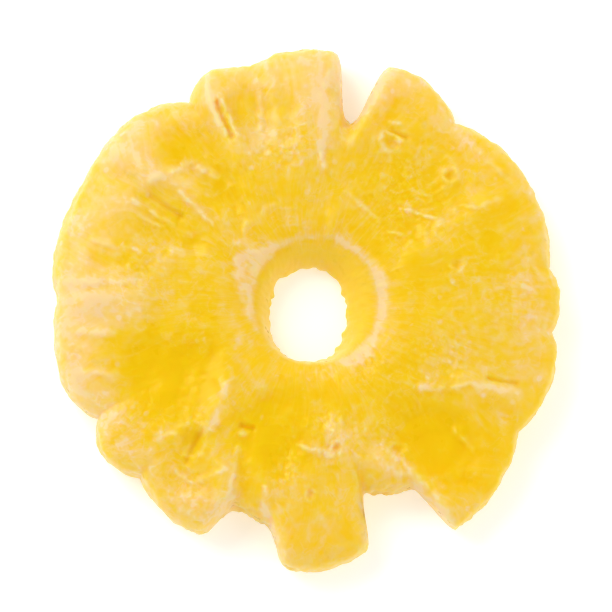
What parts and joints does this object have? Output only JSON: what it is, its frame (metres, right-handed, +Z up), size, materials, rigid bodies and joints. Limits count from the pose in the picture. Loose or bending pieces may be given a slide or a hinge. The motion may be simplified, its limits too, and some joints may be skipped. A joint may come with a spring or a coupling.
{
  "type": "candied pineapple ring",
  "caption": "Candied pineapple slice: a flat, lobed, golden ring of soft translucent flesh with a core hole, torn notches in its rim and shallow fruitlet pockets.",
  "frame": {"origin": "middle of the bounding box in X and Y, on the surface that the ring lies on", "axes": "+Z up through the ring's thickness, +Y along its slightly longer width, +X across it"},
  "size_m": [0.0736, 0.0764, 0.0096],
  "materials": {
    "flesh": "soft, moist, slightly translucent golden fruit flesh, paler along edges and walls"
  },
  "bodies": {
    "root": {"pineapple_ring": "flesh"}
  },
  "joints": []
}
